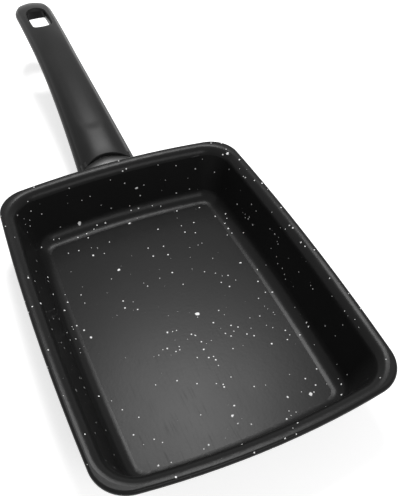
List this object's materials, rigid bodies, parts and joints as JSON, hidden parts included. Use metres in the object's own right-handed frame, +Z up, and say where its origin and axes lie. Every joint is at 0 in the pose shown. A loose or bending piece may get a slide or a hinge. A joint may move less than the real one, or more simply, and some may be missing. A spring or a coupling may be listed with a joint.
{
  "type": "tamagoyaki pan",
  "caption": "Rectangular rolled-omelette pan with flared walls, a rounded lip, a steel ferrule and an arched matte grip with a hanging hole.",
  "frame": {"origin": "centre of the flat underside of the base, where the pan stands on a hob", "axes": "+Z up; +Y along the pan's length towards the grip; +X to the right when the grip points away"},
  "size_m": [0.14, 0.3818, 0.0454],
  "materials": {
    "coated_aluminium": "near-black speckled non-stick coating, semi-gloss",
    "plate_steel": "brushed stainless steel",
    "bracket_steel": "zinc-plated sheet steel",
    "stud_aluminium": "bare aluminium, closed by pressing",
    "polished_steel": "polished stainless steel",
    "grip_resin": "soft-touch matte dark grey resin",
    "fastener_steel": "bright zinc-plated steel"
  },
  "bodies": {
    "root": {"pan_body": "coated_aluminium", "induction_plate": "plate_steel", "handle_bracket": "bracket_steel", "bracket_studs": "stud_aluminium", "bracket_nut": "bracket_steel", "flame_guard": "polished_steel", "handle_grip": "grip_resin", "handle_screw": "fastener_steel", "spring_washer": "fastener_steel", "plain_washer": "fastener_steel"}
  },
  "joints": []
}
